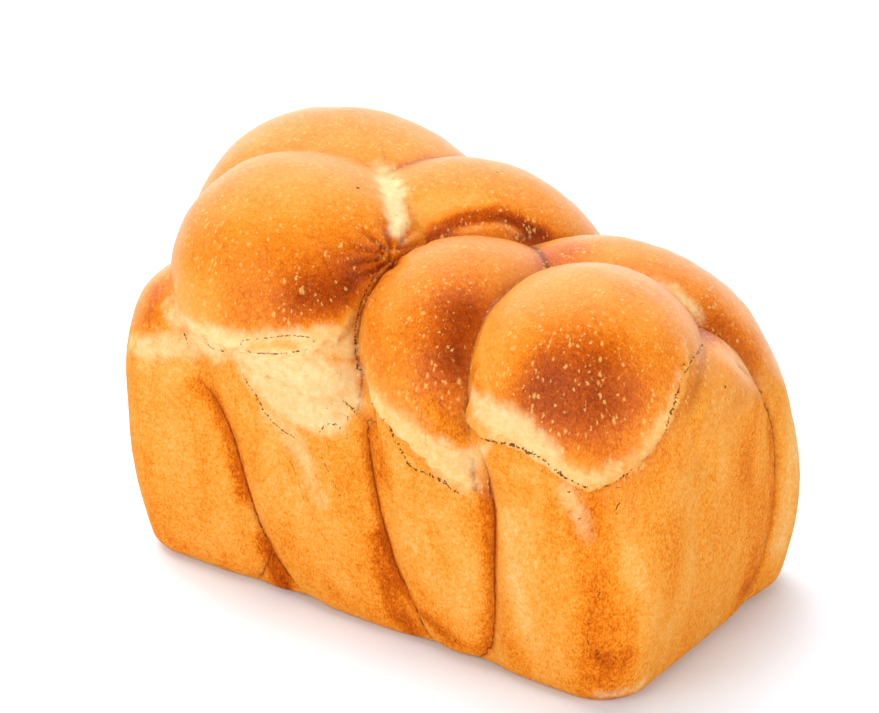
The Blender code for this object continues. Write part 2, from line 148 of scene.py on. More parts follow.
# Where the crust is browner, paler, torn open or gaping. Places in millimetres, browns on a scale from
# 0, pale, to 1, nearly burnt.
browning = {
    "dome": 0.42, "wall": 0.40,
    "clouds": [(0.05, 26.0, 2, 11.0), (0.035, 8.0, 2, 12.0)],   # how much, size, octaves, seed
    # how dark the painted shade is along the line where two strands meet
    "seamShade": 0.5,
    "seamShades": [
        ("farEnd", "nearLeft", 0.1), ("farMiddle", "nearLeft", 0.15), ("nearEnd", "nearLeft", 0.1),
        ("nearLeft", "nearMiddle", 0.8), ("farMiddle", "nearMiddle", 1.0), ("farMiddle", "farRight", 1.0),
        ("nearMiddle", "nearRight", 0.7), ("nearMiddle", "farRight", 1.0), ("nearRight", "endTuck", 0.3),
        ("farRight", "endTuck", 0.8)],
    # browner (+) or paler (-) zones: the strand they lie on, if one alone, how much, half width, points
    "zones": [
        ("nearLeft", 0.10, 10, [(-70, -36, 112), (-56, -48, 108)]),
        ("nearLeft", 0.28, 8, [(-14, -35, 101.5), (-17, -43, 98), (-22, -47, 98)]),
        ("nearLeft", 0.12, 13, [(-24, -38, 109), (-36, -46, 107)]),
        ("nearLeft", -0.25, 2.8, [(-11, -33, 99), (-10.5, -39.5, 93), (-9, -44, 87)]),
        ("nearLeft", -0.20, 6, [(-16, -51, 90), (-10, -46, 88)]),
        ("nearLeft", -0.12, 7, [(-66, -50, 94), (-50, -57, 92)]),
        ("nearLeft", 0.12, 15, [(-13, -32.5, 105), (-20.5, -45, 101), (-36, -54, 100.5)]),
        ("nearLeft", 0.08, 8, [(-40, -58.5, 92), (-25.5, -55.5, 92), (-15.5, -47.5, 94)]),
        ("nearMiddle", 0.38, 7.5, [(27.5, -40, 102), (30.5, -46, 96.5), (31.5, -48, 94)]),
        ("nearMiddle", 0.14, 12, [(25, -40, 103), (27, -47, 98), (29, -53, 89.5)]),
        ("nearMiddle", 0.12, 7, [(-4, -38, 99), (2.5, -47.5, 94.5), (8.5, -53.5, 89)]),
        ("nearMiddle", 0.10, 6, [(13.5, -50, 98), (26, -55, 88), (36, -55, 75)]),
        ("nearRight", 0.20, 17, [(68, -51, 99), (80, -46, 97), (84, -42, 93)]),
        ("nearRight", 0.28, 11, [(68, -52, 99), (75, -48, 100), (79, -49, 93)]),
        ("nearRight", 0.18, 8, [(64, -56.5, 92), (76.5, -54.5, 83), (83, -51.5, 78)]),
        ("nearRight", -0.05, 8, [(50, -50, 100), (54, -43, 106)]),
        ("nearRight", -0.10, 6, [(90, -36, 92), (86, -46, 82), (78, -53, 79)]),
        ("nearRight", 0.10, 6, [(87.5, -26.5, 102), (91.5, -30.5, 94.5)]),
        ("nearRight", -0.08, 1.6, [(46.5, -55, 89.5), (40, -48, 97), (38, -40, 103)]),
        ("farMiddle", 0.50, 3.2, [(-6.5, -12, 107.5), (-4, -6, 110), (0, -1.8, 112.5), (4.5, 2.5, 113.8),
                                  (9, 6.8, 113.4), (14, 10, 110.5), (19, 14, 106.5)]),
        ("farMiddle", 0.20, 6, [(16, 12, 109), (22, 16, 105), (27, 17, 100)]),
        ("farMiddle", -0.36, 0.9, [(0, -3, 110.6), (3, -0.8, 111.4), (9, 5.6, 111.6), (14, 9, 109.4)]),
        ("farMiddle", -0.16, 6, [(-13, -8, 115), (-6, -2, 118), (2, 3, 119)]),
        ("nearMiddle", 0.16, 5, [(31, -6, 108), (35, -12, 104)]),
        ("", 0.30, 3.5, [(80, 6, 96), (84, -2, 97)]),
        ("farEnd", 0.16, 20, [(-74, 46, 104), (-56, 50, 100)]),
        ("farMiddle", 0.18, 14, [(-2, 46, 104), (8, 50, 94)]),
        ("farRight", 0.16, 14, [(58, 42, 92), (66, 46, 84)]),
        ("farRight", 0.07, 14, [(62, 10, 108), (72, 12, 103)]),
        ("farRight", 0.24, 6, [(78.5, 14, 94.5), (83.5, 17, 89), (87, 21, 82.5)]),
        ("farRight", 0.30, 6, [(33, 0, 109), (35, 4, 109)]),
        ("nearMiddle", 0.10, 14, [(14, -22, 113), (20, -30, 110)]),
        ("", 0.26, 5, [(-80, -49, 88), (-77.5, -54.5, 82)]),
        ("", 0.22, 2.2, [(4.5, -54, 63), (6.5, -54, 52.5), (9, -54, 41), (12, -52, 29), (17.5, -51.5, 17),
                         (26, -53.5, 11), (35, -53.5, 7), (41.5, -52, 6), (45, -51.5, 11),
                         (46.5, -52.5, 23.5), (47.5, -53.5, 37.5), (47.5, -54.5, 50), (46.5, -54.5, 58)]),
        ("", 0.20, 3.5, [(6, -53.5, 67), (9.5, -56, 61.5), (12, -56, 54)]),
        ("", 0.28, 3.6, [(8, -54, 32), (11, -53, 19), (14, -52.5, 9), (18, -51, 4.5)]),
        ("", 0.36, 3.6, [(-36, -52, 17), (-33, -51.5, 8.5), (-31, -51, 4)]),
        ("", 0.22, 3, [(-57, -56.5, 64.5), (-52.5, -55.5, 61), (-48, -54.5, 53.5), (-45, -54.5, 43.5),
                       (-42.5, -53.5, 32.5)]),
        ("", 0.24, 8, [(80, -57, 60), (82, -55, 50), (83, -54, 36.5), (83, -53, 20), (84, -52, 4)]),
        ("", -0.10, 6, [(60, -57, 55), (62, -56.5, 38), (64, -55, 20)]),
        ("", 0.12, 7, [(95, 4.5, 60), (94, 14.5, 38), (91, 19, 12)]),
        ("", 0.12, 3, [(53.5, -54, 13.5), (59, -54.5, 6.5)]),
        ("", 0.16, 2.6, [(83.5, -52.5, 18.5), (87, -49.5, 14), (89.5, -47, 19)]),
        ("", 0.14, 3, [(91, 17, 10), (91.5, 26, 16), (92.5, 28, 29), (93.5, 27, 45.5), (94, 23, 62)]),
        ("", 0.10, 3, [(-9.5, -54.5, 10), (3, -54.5, 6.5), (14.5, -52.5, 6)]),
        ("", 0.08, 3, [(-71.5, -54.5, 6), (-55, -54.5, 5), (-42.5, -52.5, 3.5)]),
        ("", -0.14, 3, [(54.5, -57, 53.5), (56.5, -56.5, 38), (60.5, -55.5, 23)]),
        ("", -0.10, 3, [(88, -52, 60), (90.5, -49, 50), (91, -46, 40)]),
        ("", -0.12, 5, [(24, -57, 40), (30, -55.5, 27), (38, -54.5, 19)]),
        ("", -0.12, 5, [(34.5, -57.5, 47.5), (40.5, -56, 36), (42, -54, 24)]),
        ("", -0.08, 3.6, [(-24, -57, 43.5), (-15, -56, 27), (-4, -55, 12)]),
        ("", -0.12, 2.6, [(-79.5, -57.5, 67.5), (-69, -57.5, 66), (-60, -56, 72)]),
        ("", -0.10, 7, [(91.5, -46, 47.5), (92.5, -41, 30), (91.5, -33.5, 17)]),
        ("", -0.07, 2.6, [(58, -58, 70), (68, -57.5, 70)]),
        ("", -0.12, 3.3, [(90.5, -4, 93.5), (89.5, 13, 83), (91.5, 22.5, 73)]),
        # painted highlight: paler down the far right corner, where the edge catches the light
        ("", -0.2, 6, [(92, 38, 82), (93, 39, 60), (93, 38, 40), (92, 36, 18)]),
    ],
    # pale torn bands: how pale, then points with half width
    "torn": [
        (0.72, [(-72, -52, 87, 1.5), (-67, -54, 83.5, 3), (-55, -57, 83, 4), (-42.5, -60.5, 84.5, 3),
                (-32, -59, 87, 2.2), (-19.5, -53.5, 89, 1.8), (-12, -47, 90.5, 0.8)]),
        (0.74, [(-44, -59.5, 81, 2.5), (-34, -59, 80, 5), (-23.5, -58, 79.5, 6.5), (-15, -55.5, 77.5, 6.5),
                (-7, -49, 77.5, 4)]),
        (0.70, [(-38, -58.5, 75, 2), (-30, -57.5, 71.5, 4.5), (-19.5, -57, 68, 5.5), (-9, -56.5, 68, 5.5),
                (-3.5, -51, 72.5, 3.5)]),
        (0.40, [(-31, -57.5, 64, 2), (-22, -57, 58, 4), (-15, -57, 50, 3), (-10, -57, 40, 2)]),
        (0.66, [(-86, -52, 70, 2), (-75, -57, 73, 3.5), (-62, -56, 77, 4), (-49, -57.5, 79.5, 4)]),
        (0.75, [(-18, -55, 86, 2), (-11, -51, 87, 2.6), (-7, -47, 85, 1.5)]),
        (0.54, [(-3, -46, 79.5, 1.2), (8, -56, 78, 2.6), (18.5, -59, 75, 3.4), (26.5, -58.5, 69.5, 4.6),
                (35, -58, 63.5, 5), (40.5, -56.5, 60.5, 3)]),
        (0.60, [(33, -58, 70.5, 2), (38.5, -56, 66.5, 3.5), (44, -55.5, 70, 2.5), (48, -57, 74.5, 1)]),
        (0.68, [(40.5, -51.5, 86, 1.6), (50, -57.5, 84, 4.6), (58, -58.5, 83.8, 4.6), (65, -59, 81, 3.6),
                (70, -58.5, 77.5, 2.6)]),
        (0.58, [(69, -58.5, 77, 2.6), (76.5, -56.5, 73.5, 2.3), (82.5, -53.5, 72.5, 1.8)]),
        (0.50, [(85, -51, 75, 1.8), (90.5, -43.5, 79.5, 1.3), (92.5, -35, 89, 0.9), (91.5, -28, 96.5, 0.5)]),
        (0.45, [(74, -57, 68, 2.5), (78, -56, 61, 2), (80, -55, 55, 1)]),
        (0.74, [(-34, 5, 120, 3), (-29, 1, 121, 3.6)]),
        (1.0, [(-26, -2, 121, 4), (-21.5, -6.5, 120, 4.4), (-15, -13, 116, 3.6), (-11, -17, 112, 2.2)]),
        (0.34, [(-1, -4, 110, 0), (3, -0.8, 111, 0), (9, 5.6, 111.4, 0), (15, 9.5, 108.6, 0)]),
        (0.80, [(60, 6, 107.5, 0.8), (66, 8.5, 104, 1.6), (69.5, 9.5, 101.5, 1.8), (73.5, 10, 99, 1.5),
                (76, 10, 96, 0.7)]),
        (0.50, [(83, -51.5, 4, 1.6), (89, -45, 4, 1.6), (91, -39.5, 6, 1)]),
    ],
    # gaps under a torn edge or along a tear, painted dark as their shadow: points with strength
    "gaps": [
        [(14.5, -59, 76, 0.5), (15, -57, 70.5, 0.9), (18.5, -57, 65.5, 1), (22.5, -57.5, 61, 1),
         (32, -57, 59.5, 1), (39, -56.5, 56.5, 0.6)],
        [(44, -55.5, 75.5, 0.6), (50, -57.5, 76.5, 0.9), (58.5, -60.5, 79, 1), (64.5, -60, 78, 1),
         (69.5, -59.5, 76.5, 1), (74.5, -58, 73, 1), (80.5, -55, 70, 0.7)],
        [(83, -51.5, 69.5, 0.5), (86, -49.5, 72.5, 0.8), (88.5, -47, 75, 0.5)],
        [(91, -38.5, 80, 0.6), (93, -36, 86.5, 0.9), (92.5, -31.5, 92, 0.9), (91.5, -27, 96, 0.8),
         (90, -19, 97.5, 0.6)],
        [(74, -56.5, 68, 1), (74.5, -56.5, 67, 1)], [(78, -56.5, 60.5, 0.8), (78.5, -56, 59.5, 0.8)],
        [(85, -54, 59, 0.9), (86, -53.5, 58.5, 0.9)], [(87.5, -51.5, 63, 0.7), (88.5, -49.5, 65.5, 0.7)],
        [(-41, -58.5, 77, 0.3), (-37.5, -58, 72, 0.6), (-33.5, -57.5, 67.5, 0.7), (-28.5, -57.5, 61.5, 0.7),
         (-20, -57.5, 58, 0.4)],
        [(-10.5, -57.5, 62.5, 0.6), (-8, -57, 65.5, 0.8), (-5.5, -55.5, 66, 0.9), (-4, -55.5, 64.5, 0.5)],
        [(-5.5, -52, 72, 0.6), (-3.5, -52, 71, 0.9), (0, -53, 69.5, 0.6)],
        [(-36.5, -60.5, 86, 0.35), (-34.5, -61, 84, 0.4), (-26.5, -59.5, 84, 0.45), (-18.5, -55.5, 85.5, 0.5),
         (-15.5, -53, 87, 0.45), (-16.5, -52.5, 89, 0.4), (-22, -55.5, 89.5, 0.4), (-29.5, -59, 88, 0.4),
         (-36.5, -60.5, 86, 0.35)],
        [(-54, -56.5, 81, 0.5), (-51.5, -57, 78.5, 0.7), (-45.5, -58, 79.5, 0.5)],
        [(-64, -54.5, 80, 0.5), (-62, -55, 76.5, 0.5)],
        [(-10, -27.5, 104.5, 0.3), (-11, -33, 99, 0.4), (-9.5, -39.5, 93, 0.4), (-7.5, -43.5, 86.5, 0.5),
         (-4.5, -46, 80, 0.6)],
        [(86.5, -5.5, 97, 0.6), (88, -12, 97.5, 0.9), (90, -18.5, 97.5, 0.7)],
        [(-21.5, -57.5, 50, 0.25), (-19.5, -57.5, 46.5, 0.35), (-16.5, -56.5, 38.5, 0.3),
         (-8.5, -56, 26, 0.1)],
        [(-11, -57.5, 57, 0.25), (-5, -57, 47, 0.35), (-1, -56.5, 40, 0.2)],
        [(84, -54, 39.5, 0.3), (81.5, -55, 29.5, 0.4), (81, -54.5, 23, 0.4), (83.5, -52.5, 16, 0.3)],
        [(83, -53.5, 20.5, 0.8), (83.5, -52.5, 18.5, 0.8)],
        [(86.5, -50.5, 18.5, 0.9), (87, -49.5, 16.5, 0.9)],
    ],
    # centre and radius
    "blackSpecks": [(-25.6, -17.6, 122.9, 0.5), (-0.6, 19, 122.6, 0.45), (90.7, -25.3, 98.1, 0.45),
                    (95.3, -9.5, 87.1, 0.45)],
}

# How finely the crust is meshed, in millimetres
mesh = {"voxel": 1.35, "settlingRounds": 4, "settlingStep": 0.9, "fineReach": 2.4, "fineRounds": 2,
        "seamReach": 2.0, "clearOfTin": 2.0, "flatBase": 0.3}

# The skin's small relief in millimetres; each grain is (height, size, octaves, seed)
skin = {
    "dome": [(0.5, 24.0, 2, 1.0), (0.16, 9.0, 2, 2.0)],
    "wall": [(0.22, 9.0, 2, 3.0)], "wallStretch": (1, 1, 0.45),
    "crumb": [(0.45, 3.6, 3, 4.0), (0.12, 1.5, 2, 5.0)], "crumbHollow": 0.2,
    "edge": (4.0, 3, 7.0), "tornRaggedness": 0.9,   # size, octaves and seed of how edges wander
    "tornFade": 2.5, "tinFade": 3.0, "baseFade": 4.0, "farFromTorn": -20.0,
    "grainSmoothness": 0.8, "grainFiner": 2.0,
}


def smoothLine(keys):
    # Catmull-Rom through the keys, with the last number (radius, depth or width) carried along
    keys = np.array(keys, float)
    padded = np.vstack([2 * keys[0] - keys[1], keys, 2 * keys[-1] - keys[-2]])
    points = []
    for before, start, end, after in zip(padded, padded[1:], padded[2:], padded[3:]):
        for t in np.arange(dough["stepsPerKey"]) / dough["stepsPerKey"]:
            points.append(0.5 * (2 * start + (end - before) * t
                                 + (2 * before - 5 * start + 4 * end - after) * t ** 2
                                 + (3 * start - before - 3 * end + after) * t ** 3))
    return np.array(points + [keys[-1]])


def aroundLine(points, line, reach):
    # which points lie in the box this far around a line
    return np.flatnonzero((points > line[:, :3].min(axis=0) - reach).all(axis=1)
                          & (points < line[:, :3].max(axis=0) + reach).all(axis=1))


def segments(points, line):
    # for each piece of a line: its run, how far along it every point is, unclipped, the offset from it to the
    # point, and the line's last number there
    for start, end in zip(line, line[1:]):
        along = end[:3] - start[:3]
        raw = (points - start[:3]) @ along / (along @ along)
        share = np.clip(raw, 0, 1)
        yield along, raw, points - start[:3] - share[:, None] * along, start[3] + share * (end[3] - start[3])


def strandField(points, line):
    # distance to a strand's skin, negative inside, and the way straight out of it
    far = dough["far"]
    distance, outward = np.full(len(points), far), np.zeros((len(points), 3))
    near = aroundLine(points, line, line[:, 3].max() + far)
    local = points[near]
    best, bestOffset = np.full(len(near), far), np.ones((len(near), 3))
    for _, _, offset, radius in segments(local, line):
        away = np.linalg.norm(offset, axis=1) - radius
        closer = away < best
        best[closer], bestOffset[closer] = away[closer], offset[closer]
    distance[near] = best
    outward[near] = bestOffset / np.linalg.norm(bestOffset, axis=1, keepdims=True)
    return distance, outward


def blendMax(a, b, width):
    # the outer of two fields, each (distance, way out), softened over this width
    share = np.clip(0.5 + 0.5 * (a[0] - b[0]) / width, 0, 1)
    distance = a[0] * share + b[0] * (1 - share) + width * share * (1 - share)
    return distance, a[1] * share[:, None] + b[1] * (1 - share[:, None])


def blendMin(a, b, width):
    distance, outward = blendMax((-a[0], -a[1]), (-b[0], -b[1]), width)
    return -distance, -outward


def roundedCorner(a, b, radius):
    # two faces meeting in a corner rounded to this radius
    aShare, bShare = np.maximum(a[0] + radius, 0), np.maximum(b[0] + radius, 0)
    length = np.hypot(aShare, bShare)
    distance = np.where(length > 0, length - radius, np.maximum(a[0], b[0]))
    flat = (length == 0) | (aShare == 0) | (bShare == 0)
    aWeight = np.where(flat, a[0] >= b[0], aShare / np.maximum(length, 1e-9))
    bWeight = np.where(flat, a[0] < b[0], bShare / np.maximum(length, 1e-9))
    return distance, a[1] * aWeight[:, None] + b[1] * bWeight[:, None]


def facePair(points, axis, halfSize):
    # the two opposite walls across one axis
    outward = np.zeros((len(points), 3))
    outward[:, axis] = np.sign(points[:, axis])
    return np.abs(points[:, axis]) - halfSize, outward


def belly(height):
    # how far the walls stand out past the base at this height
    return dough["belly"] * (1 - (1 - np.clip(height / dough["bellyHeight"], 0, 1)) ** 2)


def tinField(points, corner=dough["cornerRadius"], inset=0.0, foot=0.0):
    # the tin's inside: slightly bellied walls, round corners, and room to bulge above its rim
    height = points[:, 2]
    lean = belly(height) - inset
    rise = np.clip((height - dough["rimHeight"]) / dough["overhangRise"], 0, 1)
    lean = lean + dough["overhang"] * rise ** 2 * (3 - 2 * rise)
    walls = roundedCorner(facePair(points, 0, dough["baseLength"] / 2 + lean),
                          facePair(points, 1, dough["baseWidth"] / 2 + lean), corner)
    base = -height - foot, np.tile((0.0, 0.0, -1.0), (len(points), 1))
    return roundedCorner(walls, base, dough["baseEdgeRadius"])


def onWall(side, along, height):
    # the point of a wall at this height, this far along it
    lean = belly(height)
    width, length = dough["baseWidth"] / 2 + lean, dough["baseLength"] / 2 + lean
    return {"near": (along, -width, height), "far": (along, width, height),
            "right": (length, along, height), "left": (-length, along, height)}[side]


def besideLine(points, outward, line, reach):
    # for points within reach of a line: index, distance along the crust, positive on its left, the line's
    # strength there, and 1 beside the line or 0 past its ends
    close = aroundLine(points, line, reach)
    local, normal = points[close], outward[close]
    nearest, side, strength = np.full(len(close), np.inf), np.ones(len(close)), np.zeros(len(close))
    beside = np.zeros(len(close))
    for index, (along, raw, offset, here) in enumerate(segments(local, line)):
        offset -= (offset * normal).sum(axis=1, keepdims=True) * normal
        away = np.linalg.norm(offset, axis=1)
        closer = away < nearest
        left = (offset * np.cross(normal, along)).sum(axis=1)
        nearest = np.where(closer, away, nearest)
        side = np.where(closer, np.sign(left), side)
        strength = np.where(closer, here, strength)
        past = ((raw < 0) & (index == 0)) | ((raw > 1) & (index == len(line) - 2))
        beside = np.where(closer, ~past, beside)
    return close, nearest * side, strength, beside


def nearLine(points, line):
    # plain distance in space to a line, and the line's last number there
    nearest, strength = np.full(len(points), np.inf), np.zeros(len(points))
    for _, _, offset, here in segments(points, line):
        away = np.linalg.norm(offset, axis=1)
        closer = away < nearest
        nearest = np.where(closer, away, nearest)
        strength = np.where(closer, here, strength)
    return nearest, strength


def grain(points, size, octaves, seed):
    # smooth noise from about -1 to 1 with features of this size in millimetres
    shift = Vector((seed, seed, seed))
    return np.array([noise.fractal(Vector(point) / size + shift, skin["grainSmoothness"], skin["grainFiner"],
                                   octaves) for point in points])


def grains(points, kinds):
    # grains of several sizes together, each (height, size, octaves, seed)
    return sum(height * grain(points, size, octaves, seed) for height, size, octaves, seed in kinds)


# Every row of points above as one smooth line
lines = {
    "strands": {name: smoothLine(keys) for name, keys in dough["strands"].items()},
    "creases": [smoothLine([(*onWall(side, along, height), depth) for along, height, depth in keys])
                for side, creases in crustMarks["creases"].items() for keys in creases],
    "rims": [smoothLine(keys) for keys in crustMarks["rims"]],
    "tears": [smoothLine(keys) for keys in crustMarks["tears"]],
    "torn": [smoothLine(keys) for _, keys in browning["torn"]],
    "gaps": [smoothLine(keys) for keys in browning["gaps"]],
    "zones": [smoothLine([(*point, 1) for point in keys]) for _, _, _, keys in browning["zones"]],
}


def markRelief(points, outward, ragged):
    # creases, ragged rims, torn hollows and puckers, in millimetres out of the smooth dough
    m = crustMarks
    relief = np.zeros(len(points))
    for line in lines["creases"]:
        close, away, depth, _ = besideLine(points, outward, line, 3 * m["shoulderWidth"])
        narrow = np.exp(-(away / m["creaseWidth"]) ** 2) * (1 - m["shoulderShare"])
        broad = np.exp(-(away / m["shoulderWidth"]) ** 2) * m["shoulderShare"]
        relief[close] = np.minimum(relief[close], -depth * (narrow + broad))
    for line in lines["rims"]:
        close, away, height, _ = besideLine(points, outward, line, 3 * m["rimReach"])
        away = away + ragged[close] * m["rimRaggedness"]
        above = np.exp(-np.maximum(away, 0) / m["rimReach"])
        below = -m["rimUndercut"] * np.exp(np.minimum(away, 0) / m["undercutReach"])
        share = 0.5 + 0.5 * np.tanh(away / m["rimStep"])
        relief[close] += m["rimGain"] * height * (above * share + below * (1 - share))
    for line in lines["tears"]:
        close, away, depth, _ = besideLine(points, outward, line, 3 * m["tearWidth"])
        relief[close] -= depth * np.exp(-(away / m["tearWidth"]) ** 2)
    return relief - puckerDepth(points)


def puckerDepth(points):
    # folds that fan out from where a strand dives
    total = np.zeros(len(points))
    for centre, axis, folds, depth, reach in crustMarks["puckers"]:
        offset = points - centre
        first = np.cross(axis, (0, 0, 1))
        second = np.cross(axis, first) / np.linalg.norm(axis)
        radius = np.linalg.norm(offset, axis=1)
        turn = np.arctan2(offset @ second, offset @ first)
        bent = turn + crustMarks["puckerUnevenness"] * np.sin(2 * turn) + crustMarks["puckerTwist"] * radius
        fold = 0.5 - 0.5 * np.cos(folds * bent)
        core = np.minimum(radius / crustMarks["puckerCore"], 1)
        total += depth * fold * core * np.exp(-(radius / reach) ** 2)
    return total


def doughField(points, extra, ragged):
    # distance to the whole loaf's skin with its relief, negative inside, and the way out of it
    top = points[:, 2] - dough["coreHeight"], np.tile((0.0, 0.0, 1.0), (len(points), 1))
    core = tinField(points, dough["coreCorner"], dough["coreInset"], dough["coreFoot"])
    body = roundedCorner(core, top, dough["coreShoulder"])
    for line in lines["strands"].values():
        body = blendMin(body, strandField(points, line), dough["strandBlend"])
    distance, outward = blendMax(body, tinField(points), dough["tinBlend"])
    return distance - markRelief(points, outward, ragged) - extra, outward


def makeCrust():
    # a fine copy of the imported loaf, moved onto the dough's exact shape with its small relief
    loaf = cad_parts["loaf"]
    crust = addObject("challah_crust", loaf.data.copy())
    remesh = crust.modifiers.new("remesh", "REMESH")
    remesh.mode = "VOXEL"
    remesh.voxel_size = mesh["voxel"] * mm
    graph = bpy.context.evaluated_depsgraph_get()
    crust.data = bpy.data.meshes.new_from_object(crust.evaluated_get(graph))
    crust.modifiers.clear()
    points = settle(crust, mesh["settlingRounds"])[0]
    refineMarks(crust, points)
    found = settle(crust, mesh["fineRounds"])
    crust.data.polygons.foreach_set("use_smooth", [True] * len(crust.data.polygons))
    return (crust, *found)


def settle(crust, rounds):
    # moves every point onto the dough's surface with all its relief
    points = np.empty(len(crust.data.vertices) * 3)
    crust.data.vertices.foreach_get("co", points)
    points = points.reshape(-1, 3) / mm + dough["middle"]
    points[:, 2] = np.maximum(points[:, 2], 0)
    ragged = grain(points, *skin["edge"])
    torn = tornZones(points, ragged)
    tornShare = np.clip(torn / skin["tornFade"] + 0.5, 0, 1)
    free = np.clip(-tinField(points)[0] / skin["tinFade"], 0, 1)
    extra = free * grains(points, skin["dome"])
    extra += (1 - free) * grains(points * skin["wallStretch"], skin["wall"])
    extra += tornShare * (grains(points, skin["crumb"]) - skin["crumbHollow"])
    extra *= np.clip(points[:, 2] / skin["baseFade"], 0, 1)
    for _ in range(rounds):
        distance, outward = doughField(points, extra, ragged)
        points -= outward * distance[:, None] * mesh["settlingStep"]
    points[:, 2] = np.where(points[:, 2] < mesh["flatBase"], 0, points[:, 2])
    crust.data.vertices.foreach_set("co", ((points - dough["middle"]) * mm).ravel())
    crust.data.update()
    return points, outward, ragged, torn


def refineMarks(crust, points):
    # finer faces along creases, rims, seams and gaps, where the relief is sharpest
    near = np.zeros(len(points), bool)
    for group in ("creases", "rims", "gaps"):
        for line in lines[group]:
            near |= nearLine(points, line)[0] < mesh["fineReach"]
    skins = np.sort([strandField(points, line)[0] for line in lines["strands"].values()], axis=0)
    near |= (skins[1] - skins[0] < mesh["seamReach"]) & (tinField(points)[0] < -mesh["clearOfTin"])
    form = bmesh.new()
    form.from_mesh(crust.data)
    edges = [edge for edge in form.edges if near[edge.verts[0].index] and near[edge.verts[1].index]]
    bmesh.ops.subdivide_edges(form, edges=edges, cuts=1, use_grid_fill=True)
    form.to_mesh(crust.data)
    form.free()


def tornZones(points, ragged):
    # millimetres inside the nearest torn band, negative outside
    inside = np.full(len(points), skin["farFromTorn"])
    for line in lines["torn"]:
        away, halfWidth = nearLine(points, line)
        inside = np.maximum(inside, halfWidth - away)
    return inside + skin["tornRaggedness"] * ragged


# What is painted at each point of the crust for its material to read. Distances in millimetres.
paintLayers = ("bake", "pressed", "torn", "paleness", "seam", "seamShade", "crease", "creaseShade", "gapShadow",
               "gapDepth", "speck")
painting = {
    # how far from a mark its distance is painted, and the distance beyond that
    "reach": 12.0, "gapReach": 6.0, "farFromRim": 30.0, "farFromCrease": 20.0, "farFromGap": 8.0,
    "seamBuried": 2.0,   # a seam fades deeper inside its strand than this
    "leastRim": 0.3, "rimPaler": 0.22, "rimPaleReach": 9.0,
    # how high walls go where there is no rim, and how near the tin they count as pressed
    "wallTop": 86.0, "wallFade": 12.0, "tinNear": 7.0, "tinFade": 3.0,
    "zoneRaggedness": 0.5, "wideZone": 4.5, "narrowSpread": 1.15,
    # shade painted into the pucker's folds; how torn bands blend; the crease depth at which a crease's
    # painted shade is full
    "puckerShade": 0.2, "tornBlend": 1.5, "fullCrease": 2.6,
}


def keepNearest(kept, close, found, allowed):
    # where a mark is the nearest yet, its distance and strength take over from those kept
    better = (np.abs(found[0]) < np.abs(kept[0][close])) & allowed
    for row, values in zip(kept, found):
        row[close] = np.where(better, values, row[close])


